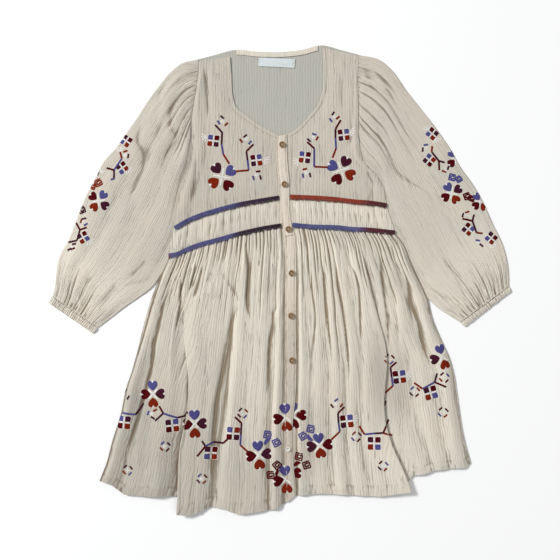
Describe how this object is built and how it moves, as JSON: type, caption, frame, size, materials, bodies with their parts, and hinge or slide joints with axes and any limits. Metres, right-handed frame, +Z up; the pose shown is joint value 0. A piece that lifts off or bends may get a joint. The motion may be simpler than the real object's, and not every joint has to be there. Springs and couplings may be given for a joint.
{
  "type": "peasant dress",
  "caption": "Crinkled cotton peasant dress laid flat, with full gathered sleeves, a scooped neck, a banded waist and a buttoned front placket.",
  "frame": {"origin": "under the middle of the laid-out dress, on the surface that it lies on", "axes": "+Z up out of the cloth, +Y from the hem towards the neck, +X to the viewer's right"},
  "size_m": [0.7866, 0.7958, 0.0108],
  "materials": {
    "cotton_gauze": "crinkled double cotton gauze, natural beige",
    "cotton_inside": "the same cotton gauze seen from inside, duller",
    "violet_yarn": "fuzzy colour-changing yarn braid, violet to plum",
    "rust_yarn": "fuzzy colour-changing yarn braid, rust to dark red",
    "cotton_tape": "plain pale cotton tape",
    "label_white": "bare white woven label",
    "coconut": "brown polished coconut shell",
    "shell_white": "small pale shell-like button"
  },
  "bodies": {
    "root": {"back_bodice": "cotton_inside", "back_waistband": "cotton_inside", "back_skirt": "cotton_inside", "front_bodice_left": "cotton_gauze", "front_bodice_right": "cotton_gauze", "front_waistband_left": "cotton_gauze", "front_waistband_right": "cotton_gauze", "front_skirt_left": "cotton_gauze", "front_skirt_right": "cotton_gauze", "placket_bodice": "cotton_gauze", "placket_skirt": "cotton_gauze", "sleeve_left": "cotton_gauze", "sleeve_right": "cotton_gauze", "cuff_left": "cotton_gauze", "cuff_right": "cotton_gauze", "trim_upper_left": "violet_yarn", "trim_lower_left": "violet_yarn", "trim_upper_right": "rust_yarn", "trim_lower_right": "violet_yarn", "back_neck_tape": "cotton_tape", "neck_label": "label_white", "button_1": "coconut", "button_2": "coconut", "button_3": "coconut", "button_4": "coconut", "button_5": "coconut", "button_6": "coconut", "button_7": "shell_white"}
  },
  "joints": []
}
